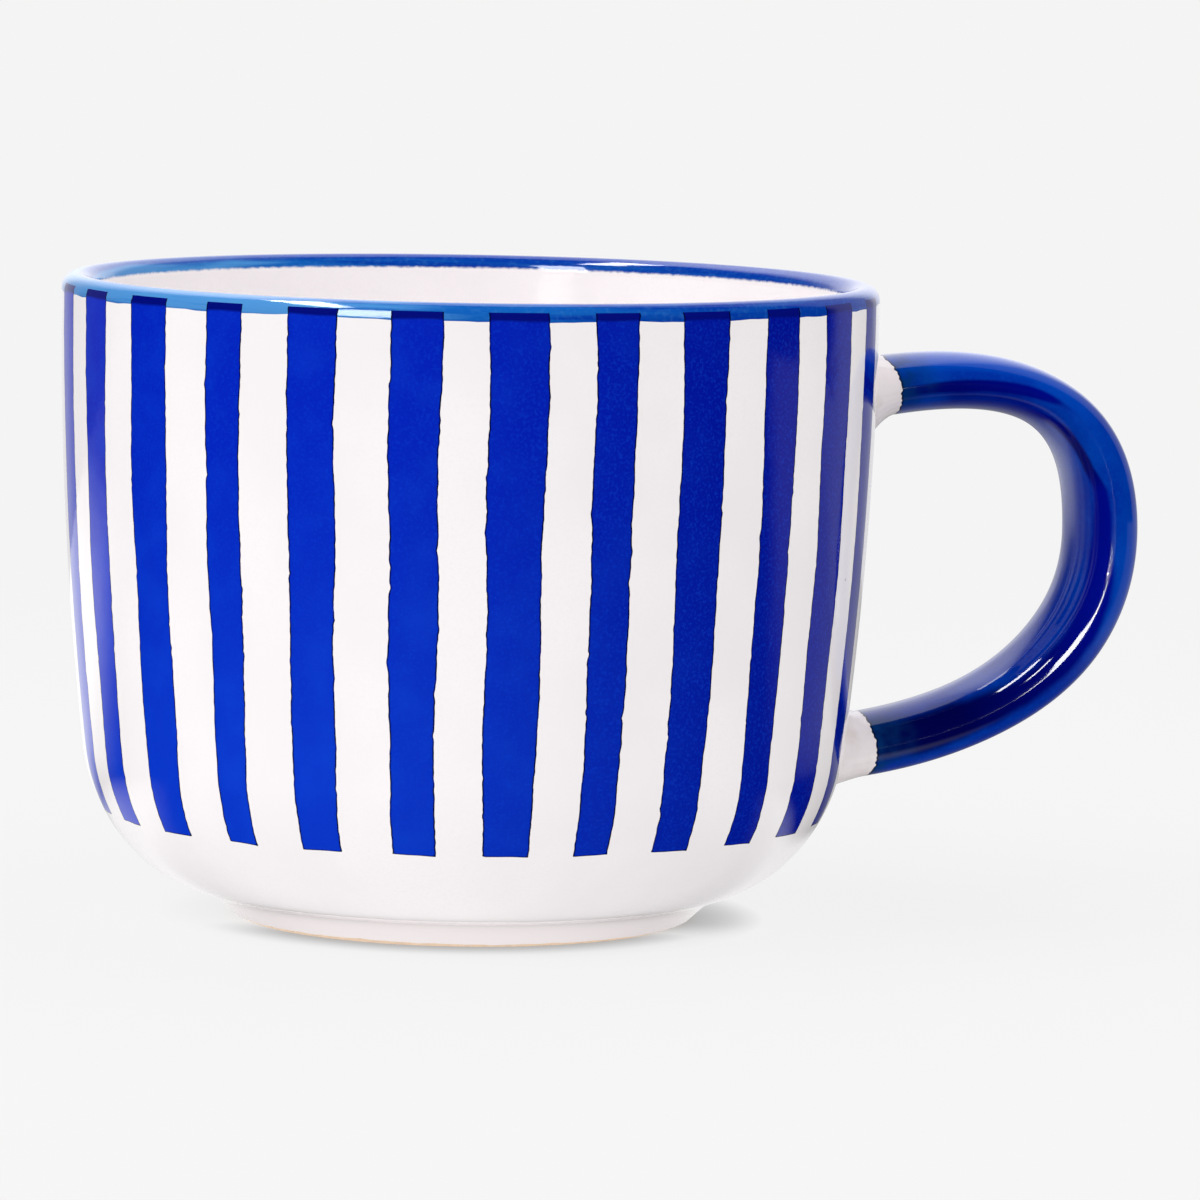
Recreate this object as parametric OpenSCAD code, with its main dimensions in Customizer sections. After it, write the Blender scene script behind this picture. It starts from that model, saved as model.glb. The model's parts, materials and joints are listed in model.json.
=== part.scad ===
// Striped soup mug: a turned pot with a round lip and a low foot ring, a loop handle and coats of glaze.
// Millimetres. The table is z = 0, the pot's axis is the Z axis and the handle stands out towards +X.

/* [Pot] */
// Outside diameter at the lip
rim_d = 112; // [100:1:126]
// Height from the table to the top of the lip
pot_h = 88; // [82:1:110]
// Thickness of the finished wall, with its glaze on both sides
wall_t = 4.2; // [3.6:0.1:5]
// Radius of the slow bow of the side
side_bow_r = 540; // [400:10:900]
// Radius of the belly, where the side turns in
belly_r = 25; // [22:0.5:30]
// Radius of the curve under the belly, down to the foot
under_r = 19; // [15:0.5:21]
// Slope at which the belly meets the curve under it, in degrees
belly_join_slope = 45; // [35:1:55]
// Height of the inside floor above the table
floor_h = 7.5; // [7:0.1:10]

/* [Foot] */
// Outside diameter of the foot where it stands
foot_d = 62.6; // [56:0.2:66]
// Diameter at the crease where the foot meets the pot
crease_d = 70.6; // [68:0.2:76]
// Width of the standing ring
foot_ring_w = 3.6; // [2.5:0.1:5]
// Depth of the hollow under the base
hollow_depth = 3; // [1.5:0.1:3.2]
// Broken edge along both sides of the standing ring
foot_edge = 0.3; // [0.2:0.1:0.8]
// Height of the bare clay between the broken edge and the glaze
bare_foot_h = 0.3; // [0.2:0.1:1.5]

/* [Glaze] */
// Thickness of each coat of glaze
glaze_t = 0.4; // [0.25:0.05:0.6]
// How far the rim band comes down from the top of the lip
rim_band_drop = 2.3; // [1.5:0.1:6]

/* [Stripes] */
// Depth of a stripe in the white coat, which goes on under it
stripe_t = 0.2; // [0.1:0.05:0.2]
// Number of stripes around the pot
stripe_count = 26; // [12:1:32]
// Width of a plain stripe at the lip
stripe_w = 7; // [4:0.1:8]
// Height of the stripes' lower ends above the table
stripe_end_h = 14.8; // [12:0.2:30]

/* [Handle] */
// How far the middle of the loop stands out from the lip
handle_reach = 35.4; // [30:0.2:44]
// Depth of the upper root's middle below the top of the lip
upper_root_drop = 16.4; // [15:0.2:22]
// Height of the lower root's middle above the table
lower_root_h = 22; // [20:0.5:28]
// Depth of the loop's furthest point below the top of the lip
loop_drop = 35.5; // [30:0.5:42]
// Rise of the upper arm above its root, as its curve leaves the pot
upper_rise = 5.7; // [2:0.1:8]
// Rise of the lower arm above its root, as its curve leaves the pot
lower_rise = 1.4; // [0:0.1:5]
// Roundness of the loop's upper bend
upper_round = 20.4; // [14:0.2:23]
// Roundness of the loop's lower bend
lower_round = 16.4; // [12:0.2:20]
// How far before the loop's furthest point the arms start to bend
shoulder = 14.6; // [10:0.2:20]
// Thickness of the upper root
upper_root_t = 8.6; // [7:0.1:10]
// Thickness of the upper arm, where the loop is slimmest
arm_t = 7.5; // [6.5:0.1:9]
// Thickness of the grip, along the outside and the lower bend of the loop
grip_t = 10; // [8:0.1:12]
// Thickness of the lower root
lower_root_t = 9; // [8:0.1:11]
// Depth of the handle from front to back
handle_depth = 15; // [11:0.5:19]
// Length of the upper slip collar along the handle
upper_collar_len = 4.2; // [3:0.1:6]
// Length of the lower slip collar along the handle
lower_collar_len = 5.5; // [3:0.1:6]
// How far each collar spreads where it meets the pot
collar_flare = 1.5; // [0.5:0.1:2.5]

/* [Hidden] */
$fn = 120;
clay_colour = "#dcc3a8";
white_colour = "#f6f2f2";
stripe_colour = "#0f22b4";
band_colour = "#2f70bd";
handle_colour = "#101f8c";

function stripe_name(i) = str("stripe_", i < 10 ? "0" : "", i);

// Centres of the lip, the side's bow, the belly and the curve under it, which run into each other
rim_r = rim_d / 2;
lip_r = wall_t / 2;
lip_c = [rim_r - lip_r, pot_h - lip_r];
bow_c = [rim_r - side_bow_r, lip_c.y];
under_cz = floor_h + under_r - wall_t;
belly_cz = under_cz + (belly_r - under_r) * cos(belly_join_slope);
belly_cx = bow_c.x + sqrt(pow(side_bow_r - belly_r, 2) - pow(belly_cz - bow_c.y, 2));
belly_c = [belly_cx, belly_cz];
under_c = [belly_cx + (belly_r - under_r) * sin(belly_join_slope), under_cz];

// Directions, from those centres, where one curve hands over to the next
side_turn = atan2(belly_c.y - bow_c.y, belly_c.x - bow_c.x);
belly_turn = belly_join_slope - 90;
crease_r = crease_d / 2;
crease_z = under_c.y - sqrt(pow(under_r, 2) - pow(crease_r - under_c.x, 2));
crease_turn = atan2(crease_z - under_c.y, crease_r - under_c.x);
floor_turn = -90;

// Number of straight steps along each curve
bow_steps = 8;
belly_steps = 10;
under_steps = 8;
lip_steps = 8;

band_z = pot_h - rim_band_drop;
foot_r = foot_d / 2;
foot_inner_r = foot_r - foot_ring_w;
foot_glaze_z = foot_edge + bare_foot_h;
// A length past whatever it cuts
ample = 10;

function arc(centre, r, from, to, steps) =
    [for (i = [0 : steps])
        let (a = from + (to - from) * i / steps)
        centre + r * [cos(a), sin(a)]];

function without_first(list) = [for (i = [1 : len(list) - 1]) list[i]];

function backwards(list) = [for (i = [len(list) - 1 : -1 : 0]) list[i]];

// The pot's side from the angle "low" on its lowest curve up to the lip, a depth d under the outside
function side(d, low) = concat(
    arc(under_c, under_r - d, low, belly_turn, under_steps),
    without_first(arc(belly_c, belly_r - d, belly_turn, side_turn, belly_steps)),
    without_first(arc(bow_c, side_bow_r - d, side_turn, 0, bow_steps))
);

// One half of the lip a depth d under its surface, from its side at 0 or from its top
lip_top = 90;
function lip_half(d, from) = without_first(arc(lip_c, lip_r - d, from, from + lip_top, lip_steps));

// The outside from the foot to the top of the lip, a depth d under the surface
function outside(d) = concat(
    [[foot_r - d, 0]],
    side(d, crease_turn),
    lip_half(d, 0)
);

// A point on the slanted side of the foot, at height z and a depth d under the surface
function on_foot(z, d) =
    let (crease = side(d, crease_turn)[0])
    [foot_r - d + (crease.x - foot_r + d) * z / crease.y, z];

// The inside from the top of the lip to the middle of the floor, a depth d under the surface
function inside(d) = concat(
    [lip_c + [0, lip_r - d]],
    lip_half(d, lip_top),
    without_first(backwards(side(wall_t - d, floor_turn))),
    [[0, floor_h - d]]
);

// Radius of the bare clay at a height on the belly or above it
function clay_r(z) = z < bow_c.y + side_bow_r * sin(side_turn)
    ? belly_c.x + sqrt(pow(belly_r - glaze_t, 2) - pow(z - belly_c.y, 2))
    : bow_c.x + sqrt(pow(side_bow_r - glaze_t, 2) - pow(z - bow_c.y, 2));

module clay_section() {
    polygon(concat(
        [[foot_r - glaze_t - foot_edge, 0], on_foot(foot_edge, glaze_t)],
        without_first(outside(glaze_t)),
        without_first(inside(glaze_t)),
        [[0, hollow_depth + glaze_t], [foot_inner_r, hollow_depth + glaze_t]],
        [[foot_inner_r, foot_edge], [foot_inner_r + foot_edge, 0]]
    ));
}

// The pot's clay with its inside filled, which trims what is stuck on
module filled_pot() {
    rotate_extrude()
        polygon(concat([[0, 0]], outside(glaze_t), [[0, pot_h - glaze_t]]));
}

// A layer of the outside between two depths, where a depth under 0 lies outside the pot
module outer_layer(from, to) {
    polygon(concat(outside(from), backwards(outside(to))));
}

module inner_layer() {
    polygon(concat(inside(0), backwards(inside(glaze_t))));
}

// Keeps the part of a section between two heights
module between(low, high) {
    intersection() {
        children();
        translate([0, low])
            square([rim_d, high - low]);
    }
}

// A hand-held brush makes some stripes wider than others, and sets some off their even places.
// These are hundredths of a plain stripe and tenths of a degree, each taken over and over.
brush_shares = [100, 100, 100, 113, 96, 104, 86, 114, 100, 100, 83, 109, 94];
brush_drift = [0, 0, 0, -1, -3, -6, -3, 0, 0, -6, -5, -9, -11];
function in_turn(list, i) = list[(i - 1) % len(list)];

// Angle that a stripe takes up around the pot
function stripe_sweep(i) = stripe_w * in_turn(brush_shares, i) / 100 / rim_r * 180 / PI;

// Angle of a stripe's middle, round the pot from the handle
function stripe_angle(i) = in_turn(brush_drift, i) / 10 - 360 / stripe_count * (i - 1);

module at_stripe(i) {
    rotate([0, 0, stripe_angle(i) - stripe_sweep(i) / 2])
        rotate_extrude(angle = stripe_sweep(i))
            children();
}

// The handle's middle line: two joined curves in the XZ plane, for u from 0 at the top to 2 at the bottom
loop_x = rim_r + handle_reach;
loop_z = pot_h - loop_drop;
upper_z = pot_h - upper_root_drop;
// How deep in the pot the handle's curve starts, before it is trimmed to the clay
root_sink = 5;
upper_curve = [
    [clay_r(upper_z) - root_sink, upper_z],
    [loop_x - shoulder, upper_z + upper_rise],
    [loop_x, loop_z + upper_round],
    [loop_x, loop_z]
];
lower_curve = [
    [loop_x, loop_z],
    [loop_x, loop_z - lower_round],
    [loop_x - shoulder, lower_root_h + lower_rise],
    [clay_r(lower_root_h) - root_sink, lower_root_h]
];

function along(p, t) =
    pow(1 - t, 3) * p[0] + 3 * t * pow(1 - t, 2) * p[1] + 3 * t * t * (1 - t) * p[2] + pow(t, 3) * p[3];

function heading(p, t) =
    pow(1 - t, 2) * (p[1] - p[0]) + 2 * t * (1 - t) * (p[2] - p[1]) + t * t * (p[3] - p[2]);

function path(u) = u < 1 ? along(upper_curve, u) : along(lower_curve, u - 1);

function path_heading(u) = u < 1 ? heading(upper_curve, u) : heading(lower_curve, u - 1);

function ease(x) = let (c = max(0, min(1, x))) c * c * (3 - 2 * c);

// Places on the middle line where the handle is slimmest, where its grip starts and ends,
// and where the lower root starts
slim_u = 0.5;
grip_start_u = 1;
grip_end_u = 1.3;
root_start_u = 1.7;
function thickness(u) =
    upper_root_t
    + (arm_t - upper_root_t) * ease(u / slim_u)
    + (grip_t - arm_t) * ease((u - slim_u) / (grip_start_u - slim_u))
    + (lower_root_t - grip_t) * ease((u - grip_end_u) / (root_start_u - grip_end_u));

// How far a place on the middle line stands off the clay
function stand_off(u) = path(u).x - clay_r(u < 1 ? upper_z : lower_root_h);

// The place that stands off by a distance, found by halving the stretch from the root towards the loop
halvings = 30;
function place_off(distance, root, loop, n = halvings) =
    let (mid = (root + loop) / 2)
    n == 0 ? mid
    : stand_off(mid) < distance ? place_off(distance, mid, loop, n - 1)
    : place_off(distance, root, mid, n - 1);

upper_edge_u = place_off(upper_collar_len, 0, 1);
lower_edge_u = place_off(lower_collar_len, 2, 1);

collar_rings = 10;
loop_rings = 34;
ring_sides = 24;

function spread(from, to, steps) = [for (i = [0 : steps]) from + (to - from) * i / steps];

upper_places = spread(0, upper_edge_u, collar_rings);
loop_places = spread(upper_edge_u, lower_edge_u, loop_rings);
lower_places = spread(lower_edge_u, 2, collar_rings);
handle_places = concat(upper_places, without_first(loop_places), without_first(lower_places));

function flare(u) =
    let (share = stand_off(u) / (u < 1 ? upper_collar_len : lower_collar_len))
    collar_flare * pow(1 - max(0, min(1, share)), 2);

// One oval ring of the handle, grown outwards by a distance
function oval(u, grow) =
    let (
        c = path(u),
        h = path_heading(u) / norm(path_heading(u)),
        a = thickness(u) / 2 + grow,
        b = handle_depth / 2 + grow
    )
    [for (j = [0 : ring_sides - 1])
        let (q = 360 * j / ring_sides)
        [c.x - h.y * a * cos(q), b * sin(q), c.y + h.x * a * cos(q)]];

// Triangles between two rings of points that start at "first" and "second" in the list
function band_faces(first, second) =
    [for (j = [0 : ring_sides - 1])
        let (k = (j + 1) % ring_sides)
        each [[first + j, first + k, second + k], [first + j, second + k, second + j]]];

module solid_sweep(rings) {
    last = (len(rings) - 1) * ring_sides;
    polyhedron(
        points = [for (ring = rings) each ring],
        faces = concat(
            [[for (j = [ring_sides - 1 : -1 : 0]) j]],
            [for (i = [0 : len(rings) - 2]) each band_faces(i * ring_sides, (i + 1) * ring_sides)],
            [[for (j = [0 : ring_sides - 1]) last + j]]
        ),
        convexity = 6
    );
}

// A tube between outer and inner rings: out along one side and back along the other
module tube_sweep(outer, inner) {
    rings = concat(outer, backwards(inner));
    count = len(rings);
    polyhedron(
        points = [for (ring = rings) each ring],
        faces = [for (i = [0 : count - 1])
            each band_faces(i * ring_sides, ((i + 1) % count) * ring_sides)],
        convexity = 6
    );
}

// The space that a collar fills where it goes through the glaze
module collar_space(places) {
    solid_sweep([for (u = places) oval(u, flare(u))]);
}

module collar(places) {
    difference() {
        tube_sweep([for (u = places) oval(u, flare(u))], [for (u = places) oval(u, -glaze_t)]);
        filled_pot();
    }
}

module clay_body() {
    color(clay_colour)
        rotate_extrude()
            clay_section();
}

module handle() {
    color(clay_colour)
        difference() {
            solid_sweep([for (u = handle_places) oval(u, -glaze_t)]);
            filled_pot();
        }
}

module upper_joint() {
    color(white_colour)
        collar(upper_places);
}

module lower_joint() {
    color(white_colour)
        collar(lower_places);
}

module inner_glaze() {
    color(white_colour)
        rotate_extrude()
            between(0, band_z)
                inner_layer();
}

module outer_glaze() {
    color(white_colour)
        difference() {
            rotate_extrude()
                between(foot_glaze_z, band_z)
                    outer_layer(0, glaze_t);
            for (i = [1 : stripe_count])
                at_stripe(i)
                    between(stripe_end_h, pot_h)
                        outer_layer(-ample, stripe_t);
            collar_space(upper_places);
            collar_space(lower_places);
        }
}

module base_glaze() {
    color(white_colour)
        translate([0, 0, hollow_depth])
            cylinder(r = foot_inner_r, h = glaze_t);
}

module rim_band() {
    color(band_colour)
        rotate_extrude()
            between(band_z, pot_h + ample) {
                union() {
                    outer_layer(0, glaze_t);
                    inner_layer();
                }
            }
}

module handle_glaze() {
    color(handle_colour)
        tube_sweep([for (u = loop_places) oval(u, 0)], [for (u = loop_places) oval(u, -glaze_t)]);
}

// The stripe behind the handle and the two beside it stop at the collars
module stripe(i) {
    color(stripe_colour)
        difference() {
            at_stripe(i)
                between(stripe_end_h, band_z)
                    outer_layer(0, stripe_t);
            if (i <= 2 || i == stripe_count) {
                collar_space(upper_places);
                collar_space(lower_places);
            }
        }
}

clay_body();
handle();
upper_joint();
lower_joint();
inner_glaze();
outer_glaze();
base_glaze();
rim_band();
handle_glaze();
for (i = [1 : stripe_count])
    stripe(i);
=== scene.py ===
import json
import math
import random

import bpy
import numpy as np
from bpy.props import FloatProperty, FloatVectorProperty, IntProperty, PointerProperty
from mathutils import Matrix, Quaternion, Vector

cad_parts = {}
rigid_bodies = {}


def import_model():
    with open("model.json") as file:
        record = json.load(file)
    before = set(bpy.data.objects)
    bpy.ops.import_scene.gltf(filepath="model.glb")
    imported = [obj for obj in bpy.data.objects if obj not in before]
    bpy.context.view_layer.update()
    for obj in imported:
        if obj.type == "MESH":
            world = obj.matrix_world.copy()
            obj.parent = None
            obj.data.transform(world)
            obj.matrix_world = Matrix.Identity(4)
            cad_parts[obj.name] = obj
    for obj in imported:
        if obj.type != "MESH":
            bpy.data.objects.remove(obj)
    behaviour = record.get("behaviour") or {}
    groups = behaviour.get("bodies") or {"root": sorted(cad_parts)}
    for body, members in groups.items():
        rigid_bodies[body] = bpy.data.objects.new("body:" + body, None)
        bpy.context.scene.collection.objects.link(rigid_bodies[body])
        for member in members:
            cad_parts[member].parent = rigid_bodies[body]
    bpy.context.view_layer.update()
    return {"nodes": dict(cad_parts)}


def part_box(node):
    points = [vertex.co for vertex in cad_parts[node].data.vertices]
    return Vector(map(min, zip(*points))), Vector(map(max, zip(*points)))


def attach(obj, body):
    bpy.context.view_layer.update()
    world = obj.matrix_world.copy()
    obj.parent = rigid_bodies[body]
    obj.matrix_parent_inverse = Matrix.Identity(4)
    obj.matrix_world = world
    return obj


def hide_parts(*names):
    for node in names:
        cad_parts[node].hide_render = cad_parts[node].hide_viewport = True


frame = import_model()

bl_info = {
    "name": "Striped soup mug",
    "version": (1, 0, 0),
    "blender": (4, 5, 0),
    "location": "View3D > Sidebar > Mug",
    "description": "Lays the glazes of a striped soup mug over its fixed frame, in a plain studio",
    "category": "Add Mesh",
}

MM = 0.001
BODY = "root"

# Corners of the fixed frame's pieces that the visible pieces take their places from
coat_low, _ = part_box("outer_glaze")
band_low, band_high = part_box("rim_band")
base_low, base_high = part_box("base_glaze")
stripe_low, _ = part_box("stripe_05")
loop_low, loop_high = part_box("handle_glaze")


def length(name, description, default):
    return FloatProperty(name=name, description=description, default=default, unit="LENGTH", precision=5)


def turn(name, description, degrees):
    return FloatProperty(name=name, description=description, default=math.radians(degrees), unit="ROTATION")


def share(name, description, default):
    return FloatProperty(name=name, description=description, default=default, subtype="FACTOR")


def colour(name, description, *rgb):
    levels = {"default": [level / 255 for level in rgb], "min": 0, "max": 1}
    return FloatVectorProperty(name=name, description=description, subtype="COLOR_GAMMA", **levels)


class PotSizes(bpy.types.PropertyGroup):
    rim_radius: length("Rim radius", "Outside radius at the lip", band_high.x)
    height: length("Height", "From the table to the top of the lip", band_high.z)
    wall: length("Wall", "Thickness of the finished wall", 4.2 * MM)
    bow_radius: length("Side bow", "Radius of the slow bow of the side", 540 * MM)
    belly_radius: length("Belly", "Radius where the side turns in", 25 * MM)
    under_radius: length("Under the belly", "Radius of the curve down to the foot", 19 * MM)
    belly_slope: turn("Belly slope", "Slope where the belly meets the curve under it", 45)
    floor_height: length("Floor", "Height of the inside floor", 7.5 * MM)
    foot_radius: length("Foot radius", "Outside radius of the foot where it stands", 31.3 * MM)
    crease_radius: length("Crease radius", "Radius where the foot meets the pot", 35.3 * MM)
    crease_fill: length("Crease fill", "Radius of the glaze that fills the crease above the foot", 8 * MM)
    ring_inner: length("Ring inner radius", "Inner radius of the standing ring", base_high.x)
    hollow: length("Hollow", "Depth of the hollow under the base", base_low.z)
    foot_edge: length("Foot edge", "Rounding of the standing ring's edges", 0.3 * MM)
    glaze: length("Glaze", "Thickness of each coat of glaze", base_high.z - base_low.z)
    glaze_start: length("Glaze start", "Height where the outer glaze starts above the bare foot", coat_low.z)
    glaze_run: length("Glaze run", "How far the outer glaze has run down the foot in places", 0.25 * MM)
    band_edge: length("Band edge", "Height of the rim band's lower edge", band_low.z)


class StripeSizes(bpy.types.PropertyGroup):
    count: IntProperty(name="Stripes", description="Number of stripes around the pot", default=26)
    width: length("Width", "Width of a plain stripe at the lip", 7 * MM)
    low: length("Lower end", "Height of the stripes' lower ends", stripe_low.z)
    top: length("Upper end", "Height of the stripes' upper ends, under the rim band", 86.9 * MM)
    taper: share("Taper", "Share of its angle that a stripe loses towards its lower end", 0.1)
    outline: length("Outline", "Width of the dark line along a stripe's edges", 0.4 * MM)
    row: length("Row", "Height of one row of the brushed edge", 0.35 * MM)


class HandleSizes(bpy.types.PropertyGroup):
    reach: length("Reach", "Distance of the loop's furthest middle point from the pot's axis", 91.4 * MM)
    loop_height: length("Loop height", "Height of the loop's furthest point", 52.5 * MM)
    upper_height: length("Upper root", "Height of the upper root's middle", 71.6 * MM)
    lower_height: length("Lower root", "Height of the lower root's middle", 22 * MM)
    upper_rise: length("Upper rise", "Rise of the upper arm as it leaves the pot", 5.7 * MM)
    lower_rise: length("Lower rise", "Rise of the lower arm as it leaves the pot", 1.4 * MM)
    upper_round: length("Upper roundness", "Roundness of the upper bend", 20.4 * MM)
    lower_round: length("Lower roundness", "Roundness of the lower bend", 16.4 * MM)
    shoulder: length("Shoulder", "How far before the furthest point the arms bend", 14.6 * MM)
    sink: length("Sink", "How deep in the wall the middle line starts", 5 * MM)
    upper_root: length("Upper root thickness", "Thickness at the upper root", 8.6 * MM)
    arm: length("Arm thickness", "Thickness where the loop is slimmest", 7.5 * MM)
    grip: length("Grip thickness", "Thickness of the grip", 10 * MM)
    lower_root: length("Lower root thickness", "Thickness at the lower root", 9 * MM)
    depth: length("Depth", "Depth of the handle from front to back", loop_high.y - loop_low.y)
    upper_collar: length("Upper collar", "Length of the white collar at the upper root", 4.2 * MM)
    lower_collar: length("Lower collar", "Length of the white collar at the lower root", 5.5 * MM)
    upper_dip: length("Upper dip", "How much shorter the upper collar is on the loop's outer side", 0.5 * MM)
    lower_dip: length("Lower dip", "How much shorter the lower collar is on the loop's outer side", 1.1 * MM)
    upper_flare: length("Upper flare", "How far the upper collar spreads where it meets the pot", 2.0 * MM)
    lower_flare: length("Lower flare", "How far the lower collar spreads where it meets the pot", 1.5 * MM)


class GlazeColours(bpy.types.PropertyGroup):
    clay: colour("Clay", "Bare fired clay", 206, 180, 154)
    white: colour("White glaze", "Where the white glaze is thick", 246, 242, 243)
    white_thin: colour("Thin white glaze", "Where the white glaze is thin", 241, 237, 238)
    # Greyer white on the foot and in the crease above it: thin glaze over the clay, and also painted shade
    # in the crease under the belly.
    white_foot_shaded: colour("White glaze at the foot", "Where clay shows through the thin glaze", 221, 214, 214)
    slip: colour("Slip", "White slip of the collars", 238, 231, 232)
    slip_stain: colour("Stained slip", "Where clay shows through the slip", 222, 212, 208)
    speck: colour("Speck", "Fine specks of clay in the white glaze", 196, 184, 176)
    cobalt: colour("Stripe", "Cobalt blue of the stripes", 2, 34, 184)
    cobalt_light: colour("Light stripe", "Where the cobalt is thin", 10, 64, 204)
    # Painted shade: the stripes turn to this darker blue towards the handle's side, away from the key lamp.
    cobalt_shade: colour("Thick stripe", "Where the cobalt is thick, on the handle's side", 0, 10, 136)
    cobalt_line: colour("Stripe outline", "Where the cobalt has gathered at an edge", 4, 4, 40)
    cobalt_deep: colour("Stripe under the band", "Where the rim band lies over a stripe", 2, 12, 116)
    band: colour("Rim band", "Mid blue of the rim band", 14, 92, 178)
    # The light and deep band blues also serve as painted light away from the handle and painted shade
    # towards it.
    band_light: colour("Light rim band", "Where the rim band is thin", 74, 142, 206)
    band_deep: colour("Deep rim band", "Where the rim band is thick", 2, 56, 158)
    handle: colour("Handle", "Blue of the handle", 0, 43, 150)
    handle_light: colour("Light handle", "Where the handle's glaze is thin", 2, 74, 180)
    handle_pool: colour("Pooled handle", "Where the handle's glaze has pooled along its sides", 0, 10, 134)
    handle_deep: colour("Deep handle", "Where the pooled glaze is thickest", 0, 2, 72)
    handle_line: colour("Handle's edge", "Where the handle's glaze has gathered at its ends", 8, 16, 34)
    handle_root: colour("Handle's roots", "Where the handle's glaze has run into the white", 4, 52, 108)


class StudioSettings(bpy.types.PropertyGroup):
    lens: FloatProperty(name="Lens", description="Focal length in millimetres", default=225, unit="CAMERA")
    distance: length("Distance", "Distance of the camera from its target", 1032.3 * MM)
    target_height: length("Target height", "Height of the camera's target on the pot's axis", 43.87 * MM)
    elevation: turn("Elevation", "Angle of the camera above the table", 5.96)
    swing: turn("Swing", "Angle by which the handle points away from the camera", 13.5)
    pan: turn("Pan", "Turn of the camera to the handle's side", 1.024)
    roll: turn("Roll", "Tilt of the camera about its own line of sight", 0.985)
    backdrop: colour("Backdrop", "Pale colour of the floor and the backdrop", 244, 244, 244)
    floor_radius: length("Floor radius", "Radius where the floor has faded into the backdrop", 0.5)
    card_distance: length("Card distance", "How far the bright card stands behind the mug", 0.4)


# Meshes

# Spacing of the points along an arc, points along a straight line, and spacing along a turned section
ARC_STEP = 0.1 * MM
STRAIGHT_POINTS = 12
SECTION_STEP = 1.2 * MM
# Points closer than this are one point, and edges that bend more than this stay sharp
TOUCHING = 0.001 * MM
SHARP = math.radians(40)


class Outline:
    """A line of (radius, height) points with outward normals, measured along its length."""

    def __init__(self, pieces):
        points = np.concatenate([p for p, _ in pieces])
        normals = np.concatenate([n for _, n in pieces])
        steps = np.hypot(*np.diff(points, axis=0).T)
        self.distance = np.concatenate([[0], np.cumsum(steps)])
        self.columns = np.concatenate([points, normals], axis=1).T
        self.length = self.distance[-1]

    def at(self, distance):
        """Radius, height and normal at some distances along the line."""
        return [np.interp(distance, self.distance, column) for column in self.columns]

    def where(self, height, until):
        """Distance along the line at a height, on the stretch that ends at the distance 'until'."""
        rising = self.distance <= until
        return float(np.interp(height, self.columns[1][rising], self.distance[rising]))


def arc(centre, radius, start, end, facing=1):
    """Points and normals along an arc, from one angle to another in radians."""
    count = max(3, math.ceil(abs(end - start) * radius / ARC_STEP))
    angle = np.linspace(start, end, count)
    ray = np.stack([np.cos(angle), np.sin(angle)], axis=1)
    return np.array(centre) + radius * ray, facing * ray


def straight(start, end):
    """Points and right-hand normals along a straight line."""
    start, end = np.array(start), np.array(end)
    points = start + np.linspace(0, 1, STRAIGHT_POINTS)[:, None] * (end - start)
    along = (end - start) / np.linalg.norm(end - start)
    return points, np.tile([along[1], -along[0]], (len(points), 1))


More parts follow.
